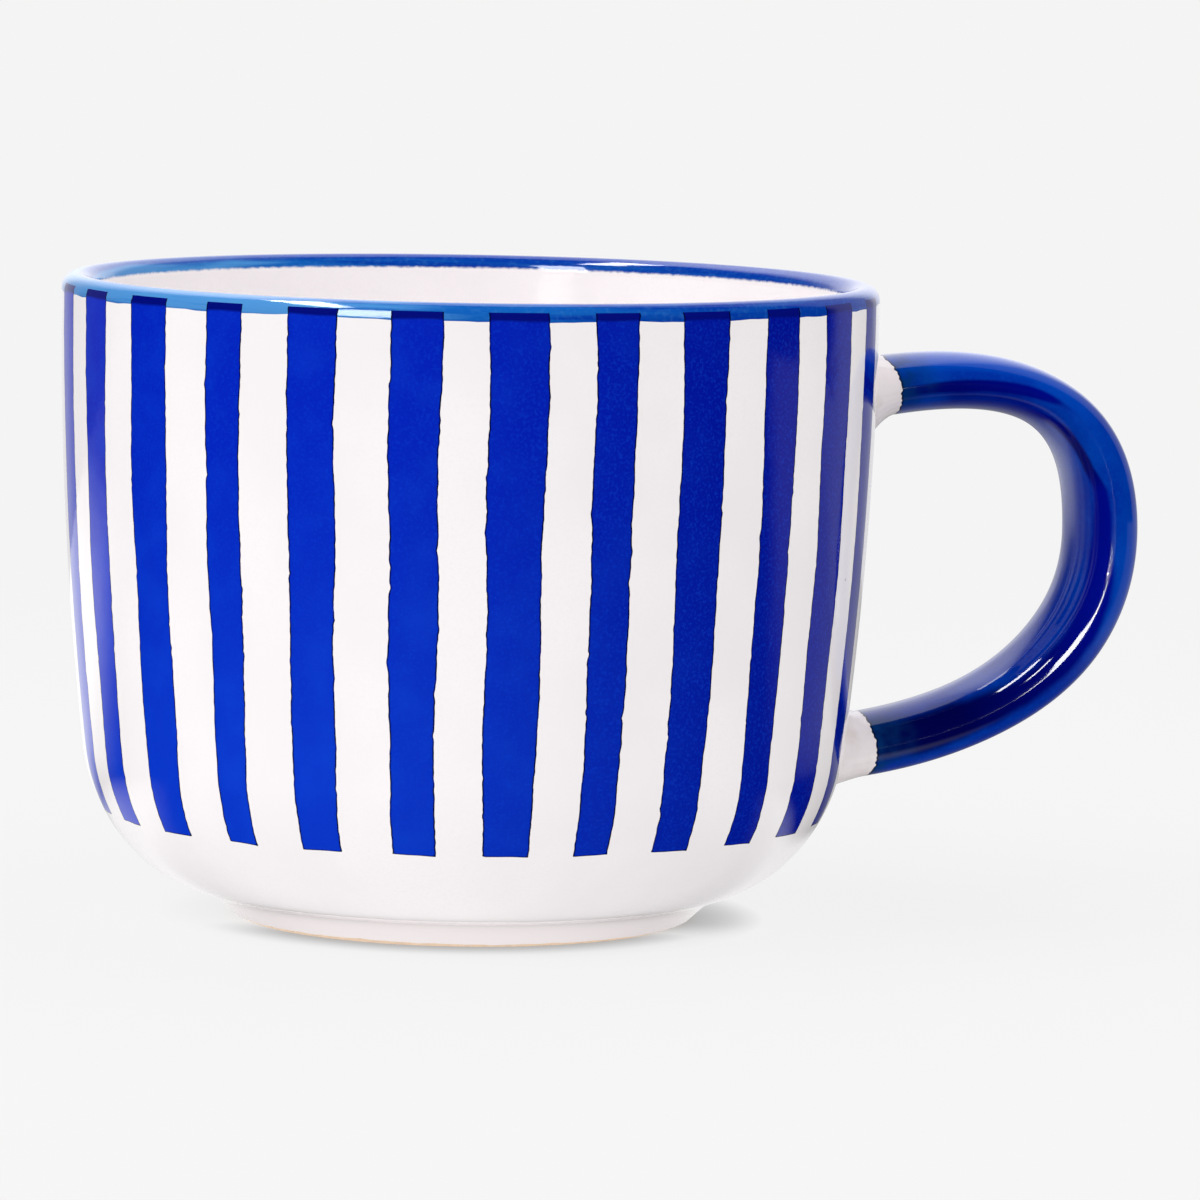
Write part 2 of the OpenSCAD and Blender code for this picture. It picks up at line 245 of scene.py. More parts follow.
class PotShape:
    """The pot's section: a lip, a bowed side, a belly and a curve down to the foot, run into each other."""

    def __init__(self, pot):
        self.pot = pot
        self.lip_radius = pot.wall / 2
        self.lip = np.array([pot.rim_radius - self.lip_radius, pot.height - self.lip_radius])
        self.bow = np.array([pot.rim_radius - pot.bow_radius, self.lip[1]])
        step = pot.belly_radius - pot.under_radius
        under_z = pot.floor_height + pot.under_radius - pot.wall
        belly_z = under_z + step * math.cos(pot.belly_slope)
        span = pot.bow_radius - pot.belly_radius
        belly_x = self.bow[0] + math.sqrt(span ** 2 - (belly_z - self.bow[1]) ** 2)
        self.belly = np.array([belly_x, belly_z])
        self.under = np.array([belly_x + step * math.sin(pot.belly_slope), under_z])
        self.side_turn = math.atan2(*(self.belly - self.bow)[::-1])
        self.belly_turn = pot.belly_slope - math.pi / 2
        out = pot.crease_radius - self.under[0]
        self.crease_turn = -math.acos(out / pot.under_radius)

    def side(self, depth, low, facing=1):
        """The outside from an angle on its lowest curve up to the lip, a depth under the surface."""
        pot = self.pot
        return [
            arc(self.under, pot.under_radius - depth, low, self.belly_turn, facing),
            arc(self.belly, pot.belly_radius - depth, self.belly_turn, self.side_turn, facing),
            arc(self.bow, pot.bow_radius - depth, self.side_turn, 0, facing),
        ]

    def foot_side(self, depth, low):
        """The slanted side of the foot from a height up to the crease."""
        crease = self.side(depth, self.crease_turn)[0][0][0]
        foot = self.pot.foot_radius - depth
        return straight([foot + (crease[0] - foot) * low / crease[1], low], crease)

    def filled_crease(self, low):
        """The outside from a height on the foot up to the lip, with the crease filled by a hollow curve."""
        pot = self.pot
        foot, crease = self.foot_side(0, low)[0][[0, -1]]
        along = (crease - foot) / np.linalg.norm(crease - foot)
        out = np.array([along[1], -along[0]])
        from_under = foot + pot.crease_fill * out - self.under
        ahead = from_under @ along
        reach = pot.under_radius + pot.crease_fill
        step = -ahead - math.sqrt(ahead ** 2 + reach ** 2 - from_under @ from_under)
        touch = foot + step * along
        middle = touch + pot.crease_fill * out
        start = math.atan2(-out[1], -out[0])
        end = math.atan2(*(self.under - middle)[::-1])
        hollow = arc(middle, pot.crease_fill, start, end, facing=-1)
        return [straight(foot, touch), hollow, *self.side(0, end - math.pi)]

    def lip_round(self, depth):
        return arc(self.lip, self.lip_radius - depth, 0, math.pi)

    def inside(self, depth):
        """The inside from the lip down to the middle of the floor, a depth under the surface."""
        pieces = self.side(self.pot.wall - depth, -math.pi / 2, facing=-1)
        down = [(points[::-1], normals[::-1]) for points, normals in reversed(pieces)]
        floor_edge = down[-1][0][-1]
        return down + [straight(floor_edge, [0, floor_edge[1]])]

    def outer_radius(self, height):
        """Radius of the outside at heights on the belly or above it."""
        pot = self.pot
        on_bow = height > self.bow[1] + pot.bow_radius * math.sin(self.side_turn)
        bow = self.bow[0] + np.sqrt(pot.bow_radius ** 2 - (height - self.bow[1]) ** 2)
        drop = np.clip(pot.belly_radius ** 2 - (height - self.belly[1]) ** 2, 0, None)
        return np.where(on_bow, bow, self.belly[0] + np.sqrt(drop))


def thin_out(pieces):
    """Points along the pieces of a turned section, ends and corners kept."""
    kept = []
    for points, _ in pieces:
        total = np.hypot(*np.diff(points, axis=0).T).sum()
        count = max(2, round(total / SECTION_STEP) + 1)
        picks = np.linspace(0, len(points) - 1, count).round().astype(int)
        for point in points[picks]:
            if not kept or np.hypot(*(point - kept[-1])) > TOUCHING:
                kept.append(point)
    return kept


def make_piece(name, vertices, faces, material, attributes=None):
    """A smooth mesh object with sharp edges at its corners."""
    mesh = bpy.data.meshes.new(name)
    mesh.from_pydata(vertices.tolist(), [], faces)
    for key, values in (attributes or {}).items():
        layer = mesh.attributes.new(key, "FLOAT", "POINT")
        layer.data.foreach_set("value", np.asarray(values, dtype=np.float32))
    mesh.shade_smooth()
    mesh.set_sharp_from_angle(angle=SHARP)
    mesh.materials.append(material)
    mesh.validate()
    piece = bpy.data.objects.new(name, mesh)
    bpy.context.scene.collection.objects.link(piece)
    return piece


def settle(piece, slot, *nodes):
    """Joins a finished piece to the frame in place of its plain nodes."""
    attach(piece, BODY)
    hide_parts(*nodes)


def lathe(name, loop, material, segments=200):
    """A closed section turned about the Z axis. Points on the axis become one vertex each."""
    angle = np.linspace(0, 2 * math.pi, segments, endpoint=False)
    vertices, rings = [], []
    for radius, height in loop:
        first = len(vertices)
        if radius < TOUCHING:
            vertices.append((0, 0, height))
            rings.append([first] * segments)
        else:
            vertices.extend(zip(radius * np.cos(angle), radius * np.sin(angle), [height] * segments))
            rings.append(list(range(first, first + segments)))
    faces = []
    for lower, upper in zip(rings, rings[1:] + rings[:1]):
        for j in range(segments):
            k = (j + 1) % segments
            corners = list(dict.fromkeys([lower[j], lower[k], upper[k], upper[j]]))
            if len(corners) > 2:
                faces.append(corners)
    return make_piece(name, np.array(vertices), faces, material)


def shell(name, outer, inner, cells, material, attributes=None):
    """A closed layer between two grids of points, with rows along the first axis and rings along the second.

    Only the marked cells are filled, and walls close every edge between a filled and an empty cell.
    """
    rows, columns = outer.shape[:2]
    vertices = np.concatenate([outer.reshape(-1, 3), inner.reshape(-1, 3)])
    behind = rows * columns
    row, column = np.nonzero(cells)
    after = (column + 1) % columns
    near, right = row * columns + column, row * columns + after
    up, far = near + columns, right + columns

    filled = np.pad(cells, ((1, 1), (0, 0)))
    below, above = ~filled[row, column], ~filled[row + 2, column]
    before = ~cells[row, (column - 1) % columns]
    beyond = ~cells[row, after]

    def wall(start, end, where):
        return np.stack([start, end, end + behind, start + behind], axis=1)[where]

    faces = np.concatenate([
        np.stack([near, right, far, up], axis=1),
        np.stack([near, up, far, right], axis=1) + behind,
        wall(right, near, below),
        wall(up, far, above),
        wall(near, up, before),
        wall(far, right, beyond),
    ])
    used, faces = np.unique(faces, return_inverse=True)
    faces = faces.reshape(-1, 4)
    layers = {key: np.tile(values.ravel(), 2)[used] for key, values in (attributes or {}).items()}
    return make_piece(name, vertices[used], faces.tolist(), material, layers)


# Brushwork

# The brush's own hand: hundredths of a plain stripe's width, and tenths of a degree off its even place
BRUSH_SHARES = (100, 100, 100, 113, 96, 104, 86, 114, 100, 100, 83, 109, 94)
BRUSH_DRIFT = (0, 0, 0, -1, -3, -6, -3, 0, 0, -6, -5, -9, -11)

# Waves along a brushed edge: shortest and longest wave, height, and number of waves laid over each other
EDGE_WAVES = (
    (22 * MM, 45 * MM, 0.1 * MM, 2),
    (5 * MM, 9 * MM, 0.03 * MM, 2),
    (1.2 * MM, 2.8 * MM, 0.016 * MM, 3),
)
# Small notches and blobs along it: their number, and ranges of their height and half width in millimetres
NOTCHES = 7
NOTCH_HEIGHT = (0.06, 0.17)
NOTCH_SPREAD = (0.25, 0.6)

# Greatest tilt and raggedness of a stripe's lower end in millimetres, and how far up the stripe they reach
END_TILT, END_RAG, END_REACH = 0.16, 0.06, 1.5 * MM
END_SEED = 7

# Small drips around the pot: waves to a turn, their height, and how far they reach from the band's edge
DRIP_WAVES = (3, 7, 16, 37, 61)
DRIP = 0.045 * MM
DRIP_REACH = 0.9 * MM

# Where around the pot its glaze has run furthest down the foot, how far up the foot the run reaches, and the
# room for it below the glaze's start, in runs
RUN_TURN = math.radians(-40)
RUN_REACH = 1.2 * MM
RUN_ROOM = 1.3

# Height of a row of the coat's grid on the foot, on the belly under the stripes, and in the rim band
FOOT_ROW, BELLY_ROW, BAND_ROW = 0.5 * MM, 0.9 * MM, 0.2 * MM

# Cells across a stripe between its two outlines, and across the white beside it
STRIPE_CELLS = 3
WHITE_CELLS = 4


def brushed_edge(seed, distance):
    """Small sideways offsets of a brushed edge along its length, the same on every run."""
    hand = random.Random(seed)
    offset = np.zeros_like(distance)
    for shortest, longest, height, count in EDGE_WAVES:
        for _ in range(count):
            wave = hand.uniform(shortest, longest)
            offset += height * np.sin(2 * math.pi * (distance / wave + hand.random()))
    for _ in range(NOTCHES):
        middle = hand.uniform(distance.min(), distance.max())
        size = hand.choice((-1, 1)) * hand.uniform(*NOTCH_HEIGHT) * MM
        spread = hand.uniform(*NOTCH_SPREAD) * MM
        offset += size * np.exp(-(((distance - middle) / spread) ** 2))
    return offset


def ripples(counts, height, angle, hand):
    """Small waves around a ring, some to a turn, laid over each other at places that a seeded hand draws."""
    phases = [hand.random() for _ in counts]
    return sum(height * np.sin(n * angle + 2 * math.pi * phase) for n, phase in zip(counts, phases))


class CoatGrid:
    """Rows up the pot's coat and columns around it, with column lines along the edges of every stripe."""

    def __init__(self, pot, stripes):
        shape = PotShape(pot)
        band_turn = (pot.band_edge - shape.bow[1]) / pot.bow_radius
        rim_inside = arc(shape.bow, pot.bow_radius - pot.wall, 0, band_turn, facing=-1)
        pieces = shape.filled_crease(pot.glaze_start - RUN_ROOM * pot.glaze_run)
        lip_side = Outline(pieces).length
        self.line = Outline([*pieces, shape.lip_round(0), rim_inside])
        self.lip_top = lip_side + shape.lip_radius * math.pi / 2
        crease = Outline(pieces[:2]).length
        heights = (pot.glaze_start, stripes.low, pot.band_edge, stripes.top)
        foot, low, band, top = (self.line.where(height, self.lip_top) for height in heights)
        stretches = (
            (foot, crease, FOOT_ROW),
            (crease, low, BELLY_ROW),
            (low, band, stripes.row),
            (band, top, BAND_ROW),
            (top, self.line.length, BAND_ROW),
        )
        rows = [np.linspace(a, b, math.ceil((b - a) / step) + 1) for a, b, step in stretches]
        self.low_row = len(rows[0]) + len(rows[1]) - 2
        self.band_row = self.low_row + len(rows[2]) - 1
        self.top_row = self.band_row + len(rows[3]) - 1
        self.rows = np.concatenate([rows[0]] + [r[1:] for r in rows[1:]])
        self.lay_columns(pot, stripes, low, top)
        self.lay_points(pot, foot, low, band)

    def lay_columns(self, pot, stripes, low, top):
        """Angles of the column lines at every row."""
        brushed = np.clip(self.rows, low, top)
        radius = self.line.at(brushed)[0]
        lost = 1 - stripes.taper * (top - brushed) / (top - low)
        edges = []
        for i in range(stripes.count, 0, -1):
            stroke = (i - 1) % len(BRUSH_SHARES)
            middle = math.radians(BRUSH_DRIFT[stroke] / 10 - 360 / stripes.count * (i - 1))
            half = stripes.width * BRUSH_SHARES[stroke] / 200 / pot.rim_radius * lost
            start = middle - half + brushed_edge(2 * i, brushed) / radius
            end = middle + half + brushed_edge(2 * i + 1, brushed) / radius
            edges.append((i, start, end))
        angles, self.stripe_of, self.outline = [], [], []
        following = edges[1:] + [(0, edges[0][1] + 2 * math.pi, None)]
        for (i, start, end), (_, next_start, _) in zip(edges, following):
            line = stripes.outline / radius
            inner = np.linspace(start + line, end - line, STRIPE_CELLS + 1)
            across = [start, *inner, end]
            angles += across
            self.outline += [1] + [0] * (STRIPE_CELLS + 1) + [1]
            self.stripe_of += [i] * (STRIPE_CELLS + 2)
            white = np.linspace(end, next_start, WHITE_CELLS + 1)[1:-1]
            angles += list(white)
            self.outline += [0] * len(white)
            self.stripe_of += [0] * WHITE_CELLS
        self.angles = np.stack(angles, axis=1)
        self.stripe_of = np.array(self.stripe_of)
        self.outline = np.array(self.outline, dtype=float)

    def lay_points(self, pot, foot, low, band):
        """Points of both faces of the coat, uneven where the coat, the stripes and the rim band end."""
        around = self.angles[self.low_row]
        hand = random.Random(END_SEED)
        ends = np.zeros_like(around)
        for i in set(self.stripe_of) - {0}:
            columns = np.nonzero(self.stripe_of == i)[0]
            columns = np.append(columns, columns[-1] + 1) % len(around)
            tilt = hand.uniform(-END_TILT, END_TILT) * MM
            ragged = [hand.uniform(-END_RAG, END_RAG) * MM for _ in columns]
            ends[columns] = np.linspace(-tilt, tilt, len(columns)) + ragged
        drips = ripples(DRIP_WAVES, DRIP, around, hand)
        runs = -pot.glaze_run * (0.5 + 0.5 * np.cos(around - RUN_TURN)) + drips
        self.distance = self.rows[:, None]
        uneven = ((low, END_REACH, ends), (band, DRIP_REACH, drips), (foot, RUN_REACH, runs))
        for place, reach, moved in uneven:
            near = np.clip(1 - np.abs(self.rows - place) / reach, 0, 1)[:, None]
            self.distance = self.distance + near * moved
        radius, height, out, up = self.line.at(self.distance)
        self.outer = self.turned(radius, height)
        self.inner = self.turned(radius - pot.glaze * out, height - pot.glaze * up)

    def turned(self, radius, height):
        return np.stack([radius * np.cos(self.angles), radius * np.sin(self.angles), height], axis=2)

    def cells(self, first, last):
        """All cells between two rows."""
        marked = np.zeros((len(self.rows) - 1, len(self.stripe_of)), dtype=bool)
        marked[first:last] = True
        return marked

    def stripe_cells(self, i):
        return self.cells(self.low_row, self.top_row) & (self.stripe_of == i)

    def between_stripes(self, first, last):
        """Cells between two rows, with a window for each stripe."""
        return self.cells(first, last) & ~(self.cells(self.low_row, self.top_row) & (self.stripe_of > 0))


# Handle

# Places of the roots on the handle's middle line, points around and along it, and steps of a search on it
UPPER, LOWER = 0.0, 2.0
HANDLE_SIDES = 144
HANDLE_ROWS = 170
COLLAR_ROWS = 18
HALVINGS = 40

# Ragged edge of a collar: waves to a turn, and their height
COLLAR_WAVES = (3, 5, 9, 14, 23, 31, 38)
COLLAR_RAG = 0.045 * MM
# How deep a collar's foot lies in the pot's surface, and the power by which its flare draws in to the handle
COLLAR_SINK = 0.03 * MM
COLLAR_CURVE = 1.6
# Share by which a collar's flare is less on the loop's outer side and more on its inner side
UPPER_LEAN, LOWER_LEAN = 0.85, 0.2


class HandleShape:
    """The loop's middle line, two joined curves in the XZ plane, and the ovals along it.

    Places on the line run from 0 at the upper root to 2 at the lower root.
    """

    # Places where the loop is slimmest, where its grip starts and ends, and where the lower root starts
    SLIM, GRIP_START, GRIP_END, ROOT_START = 0.5, 1.0, 1.3, 1.7

    def __init__(self, handle, pot):
        self.handle = handle
        self.pot = PotShape(pot)
        self.glaze = pot.glaze
        furthest = (handle.reach, handle.loop_height)
        shoulder = handle.reach - handle.shoulder
        self.upper = np.array([
            (self.root_radius(handle.upper_height) - handle.sink, handle.upper_height),
            (shoulder, handle.upper_height + handle.upper_rise),
            (handle.reach, handle.loop_height + handle.upper_round),
            furthest,
        ])
        self.lower = np.array([
            furthest,
            (handle.reach, handle.loop_height - handle.lower_round),
            (shoulder, handle.lower_height + handle.lower_rise),
            (self.root_radius(handle.lower_height) - handle.sink, handle.lower_height),
        ])

    def root_radius(self, height):
        """Radius of the clay under the glaze at a root."""
        return float(self.pot.outer_radius(np.array(height))) - self.glaze

    def line(self, place):
        """Point and heading of the middle line."""
        t = np.where(place < 1, place, place - 1)[..., None]
        p = np.where((place < 1)[..., None, None], self.upper, self.lower)
        a, b, c, d = (p[..., k, :] for k in range(4))
        point = (1 - t) ** 3 * a + 3 * t * (1 - t) ** 2 * b + 3 * t * t * (1 - t) * c + t ** 3 * d
        heading = 3 * ((1 - t) ** 2 * (b - a) + 2 * t * (1 - t) * (c - b) + t * t * (d - c))
        return point, heading

    def thickness(self, place):
        def ease(start, end):
            x = np.clip((place - start) / (end - start), 0, 1)
            return x * x * (3 - 2 * x)

        h = self.handle
        slim = (h.arm - h.upper_root) * ease(0, self.SLIM)
        grip = (h.grip - h.arm) * ease(self.SLIM, self.GRIP_START)
        root = (h.lower_root - h.grip) * ease(self.GRIP_END, self.ROOT_START)
        return h.upper_root + slim + grip + root

    def surface(self, place, q, grow):
        """Points of the grown oval at places on the line, at angles from the loop's outer side."""
        point, heading = self.line(place)
        heading = heading / np.linalg.norm(heading, axis=-1, keepdims=True)
        out = (self.thickness(place) / 2 + grow) * np.cos(q)
        across = (self.handle.depth / 2 + grow) * np.sin(q)
        x = point[..., 0] - heading[..., 1] * out
        z = point[..., 1] + heading[..., 0] * out
        return np.stack([x, across, z], axis=-1)

    def search(self, root, inside):
        """Place nearest to a root where 'inside' stops being true, found by halving the way to the loop."""
        near, far = root, np.ones_like(root)
        for _ in range(HALVINGS):
            middle = (near + far) / 2
            still = inside(middle)
            near, far = np.where(still, middle, near), np.where(still, far, middle)
        return near

    def collar_edge(self, root, height, reach, dip, q, seed):
        """Uneven line around the handle where its blue glaze starts."""
        limit = self.root_radius(height) + reach - dip * np.clip(np.cos(q), 0, None) ** 2
        edge = self.search(np.full_like(q, root), lambda place: self.line(place)[0][..., 0] < limit)
        speed = np.linalg.norm(self.line(edge)[1], axis=-1)
        return edge + ripples(COLLAR_WAVES, COLLAR_RAG, q, random.Random(seed)) / speed

    def at_wall(self, root, q, grow):
        """Line around a root where the grown oval meets the pot's glaze, a hair under its surface."""
        def inside(place):
            p = self.surface(place, q, grow)
            return np.hypot(p[..., 0], p[..., 1]) < self.pot.outer_radius(p[..., 2]) - COLLAR_SINK

        return self.search(np.full_like(q, root), inside)


# The pool of deep blue along the loop's sides: place on its line, middle and width of the pool in degrees
# from the loop's inner side, and how dark it is
POOL = (
    (0.2, 50, 9, 0.6),
    (0.5, 50, 9, 0.15),
    (0.7, 55, 10, 0.7),
    (0.8, 58, 10, 0.7),
    (0.88, 69, 12, 0.1),
    (1.06, 68, 20, 0.05),
    (1.16, 76, 24, 0.05),
    (1.3, 84, 28, 0.2),
    (1.45, 84, 30, 0.55),
    (1.7, 80, 42, 1.0),
)
# Places between which the pool starts, and between which the upper arm with its own pool ends
POOL_START = (0.45, 0.62)
ARM_END = (0.7, 0.45)
# Middle and half length of the grip
GRIP_MIDDLE, GRIP_HALF = 0.82, 0.33

# Share of the handle's length over which its glaze has run into the white of the collars
RUN_SHARE = 0.05
# The dark lines at the handle's ends: shares of its length with how dark they are, and where even rows start
END_LINE = {0: 1, 0.0016: 0.6, 0.0032: 0}
EVEN_START = 0.008


def bell(value, middle, width, power=2):
    """1 at the middle, and falling off on both sides, the more steeply the higher the power."""
    return np.exp(-(((value - middle) / width) ** power))


def ramp(value, start, end):
    return np.clip((value - start) / (end - start), 0, 1)


def handle_layers(place, share_along, q):
    """How the handle's glaze has run, as values for each point. Angles are degrees from the inner side."""
    inward = np.degrees(np.abs(np.abs(q) - math.pi)) + 0 * place
    places, middles, widths, darks = np.array(POOL).T
    upper_arm = ramp(place, *ARM_END)
    core = 80 + 25 * place
    pool = bell(inward, np.interp(place, places, middles), np.interp(place, places, widths))
    pool = pool * ramp(place, *POOL_START)
    pool += bell(inward, core, 12) * upper_arm
    pool += 0.45 * ramp(inward, 80, 65) * upper_arm
    at_grip = bell(place, GRIP_MIDDLE, GRIP_HALF, power=4)
    lifted = 0.5 * bell(inward, 0, 44, power=8)
    lowered = 0.35 * bell(inward, 56, 12, power=4)
    outline = np.zeros(place.shape)
    for row, dark in enumerate(END_LINE.values()):
        outline[[row, -1 - row]] = dark
    return {
        "outline": outline,
        "near_end": ramp(np.minimum(share_along, 1 - share_along), RUN_SHARE, 0) + 0 * place,
        "pool": pool,
        "dark": np.interp(place, places, darks),
        "thin": 0.8 * ramp(inward, 112, 132) * upper_arm,
        "worn": bell(inward, 0, 62, power=6) * at_grip,
        "sheen": 0.5 + at_grip * (lifted - lowered),
    }


def sleeve(name, shape, q, place, grow, material, attributes=None):
    """A layer around the handle, from its grown surface down to the clay."""
    outer, inner = (shape.surface(place, q + 0 * place, g) for g in (grow, -shape.glaze + 0 * place))
    cells = np.ones((len(place) - 1, HANDLE_SIDES), dtype=bool)
    return shell(name, outer, inner, cells, material, attributes)


def handle_lines(handle, pot):
    """The handle's shape, the angles around it and the two lines where its blue glaze starts."""
    shape = HandleShape(handle, pot)
    q = -np.linspace(0, 2 * math.pi, HANDLE_SIDES, endpoint=False)
    upper = shape.collar_edge(UPPER, handle.upper_height, handle.upper_collar, handle.upper_dip, q, seed=31)
    lower = shape.collar_edge(LOWER, handle.lower_height, handle.lower_collar, handle.lower_dip, q, seed=32)
    return shape, q, upper, lower


# Materials

def linear(rgb):
    """A display colour as the light values that a shader takes."""
    return [c / 12.92 if c <= 0.04045 else ((c + 0.055) / 1.055) ** 2.4 for c in rgb] + [1.0]


class Shading:
    """A node tree, with short calls to add nodes. An input is another node's output or a plain value."""

    def __init__(self, tree, coordinates):
        self.nodes, self.links = tree.nodes, tree.links
        self.place = self.nodes.new("ShaderNodeTexCoord").outputs[coordinates]

    def add(self, kind, **settings):
        node = self.nodes.new("ShaderNode" + kind)
        for key, value in settings.items():
            setattr(node, key, value)
        return node

    def feed(self, node, inputs):
        """Gives a node its inputs, by name or number."""
        for key, value in inputs.items():
            if isinstance(value, bpy.types.NodeSocket):
                self.links.new(value, node.inputs[key])
            else:
                node.inputs[key].default_value = value

    def span(self, value, low, high, to_low=0.0, to_high=1.0):
        """Smooth change from one value to another as the input goes from low to high."""
        node = self.add("MapRange", interpolation_type="SMOOTHSTEP")
        limits = {"From Min": low, "From Max": high, "To Min": to_low, "To Max": to_high}
        self.feed(node, {"Value": value, **limits})
        return node.outputs["Result"]

    def hump(self, value, start, full, ebb, end):
        """Smooth rise from 0 at the start to 1, and back to 0 at the end."""
        return self.times(self.span(value, start, full), self.span(value, end, ebb))

    def math(self, operation, first, *others):
        """The result of an operation on two values, and then on that and the next one."""
        for other in others:
            node = self.add("Math", operation=operation)
            self.feed(node, {0: first, 1: other})
            first = node.outputs["Value"]
        return first

    def plus(self, *values):
        return self.math("ADD", *values)

    def times(self, *values):
        return self.math("MULTIPLY", *values)

    def most(self, *values):
        return self.math("MAXIMUM", *values)

    def without(self, share_lost):
        """What is left of the whole."""
        return self.math("SUBTRACT", 1.0, share_lost)

    def along(self, axis):
        """How far a point, or a direction, reaches along an axis."""
        node = self.add("SeparateXYZ")
        self.feed(node, {"Vector": self.place})
        return node.outputs[axis]

    def towards(self, direction):
        """Distance from the middle of the foot in a direction."""
        node = self.add("VectorMath", operation="DOT_PRODUCT")
        self.feed(node, {0: self.place, 1: direction})
        return node.outputs["Value"]

    def glow(self, strength, colour=(1, 1, 1, 1), kind="Emission"):
        node = self.add(kind)
        self.feed(node, {"Color": colour, "Strength": strength})
        return node.outputs[0]

    def either(self, share_of_second, first, second):
        node = self.add("MixShader")
        self.feed(node, {0: share_of_second, 1: first, 2: second})
        return node.outputs["Shader"]

    def show(self, shader, output):
        self.links.new(shader, self.nodes[output].inputs["Surface"])


class Finish(Shading):
    """A material whose colour is laid on coat by coat."""

    def __init__(self, name, colour=(0, 0, 0), roughness=0.06, bend=1.52):
        self.material = bpy.data.materials.new(name)
        self.material.use_nodes = True
        super().__init__(self.material.node_tree, "Object")
        self.surface = self.nodes["Principled BSDF"]
        self.feed(self.surface, {"Roughness": roughness, "IOR": bend})
        self.coats = linear(colour)

    def noise(self, scale, detail, stretch=(1, 1, 1)):
        """Cloudy noise in object space, with the number of features to a metre."""
        mapping = self.add("Mapping")
        self.feed(mapping, {"Vector": self.place, "Scale": stretch})
        texture = self.add("TexNoise")
        self.feed(texture, {"Vector": mapping.outputs["Vector"], "Scale": scale, "Detail": detail})
        return texture.outputs["Fac"]

    def clouds(self, scale, detail, *limits):
        """Patches of cloudy noise, by the limits of a smooth change."""
        return self.span(self.noise(scale, detail), *limits)

    def specks(self, scale, size, rarity):
        """Fine round specks in a few of the cells of a Voronoi pattern."""
        cells = self.add("TexVoronoi")
        self.feed(cells, {"Vector": self.place, "Scale": scale})
        dot = self.span(cells.outputs["Distance"], size, size * 0.5)
        return self.times(dot, self.math("GREATER_THAN", cells.outputs["Color"], rarity))

    def attribute(self, name):
        return self.add("Attribute", attribute_name=name).outputs["Fac"]

    def mix(self, share_of_second, first, second):
        node = self.add("Mix", data_type="RGBA")
        self.feed(node, {0: share_of_second, 6: first, 7: second})
        return node.outputs[2]

    def lay(self, colour, share_of_it):
        """Lays a display colour over the coats so far."""
        self.coats = self.mix(share_of_it, self.coats, linear(colour))

    def shown(self, shader):
        """The finished material, with another shader in place of the usual one."""
        self.nodes.remove(self.surface)
        self.show(shader, "Material Output")
        return self.material

    def fired(self, pattern, depth):
        """The finished material, with a fine relief from a pattern."""
        bump = self.add("Bump")
        self.feed(bump, {"Height": pattern, "Distance": depth})
        self.feed(self.surface, {"Normal": bump.outputs["Normal"], "Base Color": self.coats})
        return self.material


def white_glaze(colours):
    finish = Finish("white_glaze", colours.white, roughness=0.07)
    finish.lay(colours.white_thin, finish.clouds(45, 3, 0.35, 0.7))
    finish.lay(colours.white_thin, finish.clouds(2400, 2, 0.4, 0.75, 0, 0.5))
    # Greyer on the foot and in the crease above it: thin glaze over the clay, and painted shade in the
    # crease.
    finish.lay(colours.white_foot_shaded, finish.span(finish.along("Z"), 5.4 * MM, 3.6 * MM))
    finish.lay(colours.speck, finish.specks(260, 0.075, 0.9))
    return finish.fired(finish.noise(140, 2), 0.05 * MM)


def white_slip(colours):
    finish = Finish("white_slip", colours.slip, roughness=0.09)
    finish.lay(colours.slip_stain, finish.clouds(210, 3, 0.45, 0.75))
    finish.lay(colours.speck, finish.specks(420, 0.09, 0.9))
    return finish.fired(finish.noise(300, 3), 0.05 * MM)


def stripe_glaze(colours):
    finish = Finish("stripe_blue", colours.cobalt, roughness=0.08)
    # The stripes grow paler towards their lower ends.
    paler_lower_down = finish.span(finish.along("Z"), 80 * MM, 18 * MM, 0, 0.5)
    finish.lay(colours.cobalt_light, finish.plus(finish.clouds(160, 4, 0.4, 0.75, 0, 0.3), paler_lower_down))
    # Painted shade: the stripes darken towards the handle's side, away from the key lamp.
    finish.lay(colours.cobalt_shade, finish.span(finish.along("X"), -35 * MM, 45 * MM, 0, 0.92))
    finish.lay(colours.cobalt_light, finish.clouds(2600, 2, 0.45, 0.75, 0, 0.35))
    finish.lay(colours.cobalt_deep, finish.attribute("under_band"))
    gathered = finish.span(finish.attribute("outline"), 0.3, 0.7)
    finish.lay(colours.cobalt_line, finish.times(gathered, finish.clouds(500, 2, 0.25, 0.6, 0.6, 1.0)))
    return finish.fired(finish.noise(140, 2), 0.05 * MM)


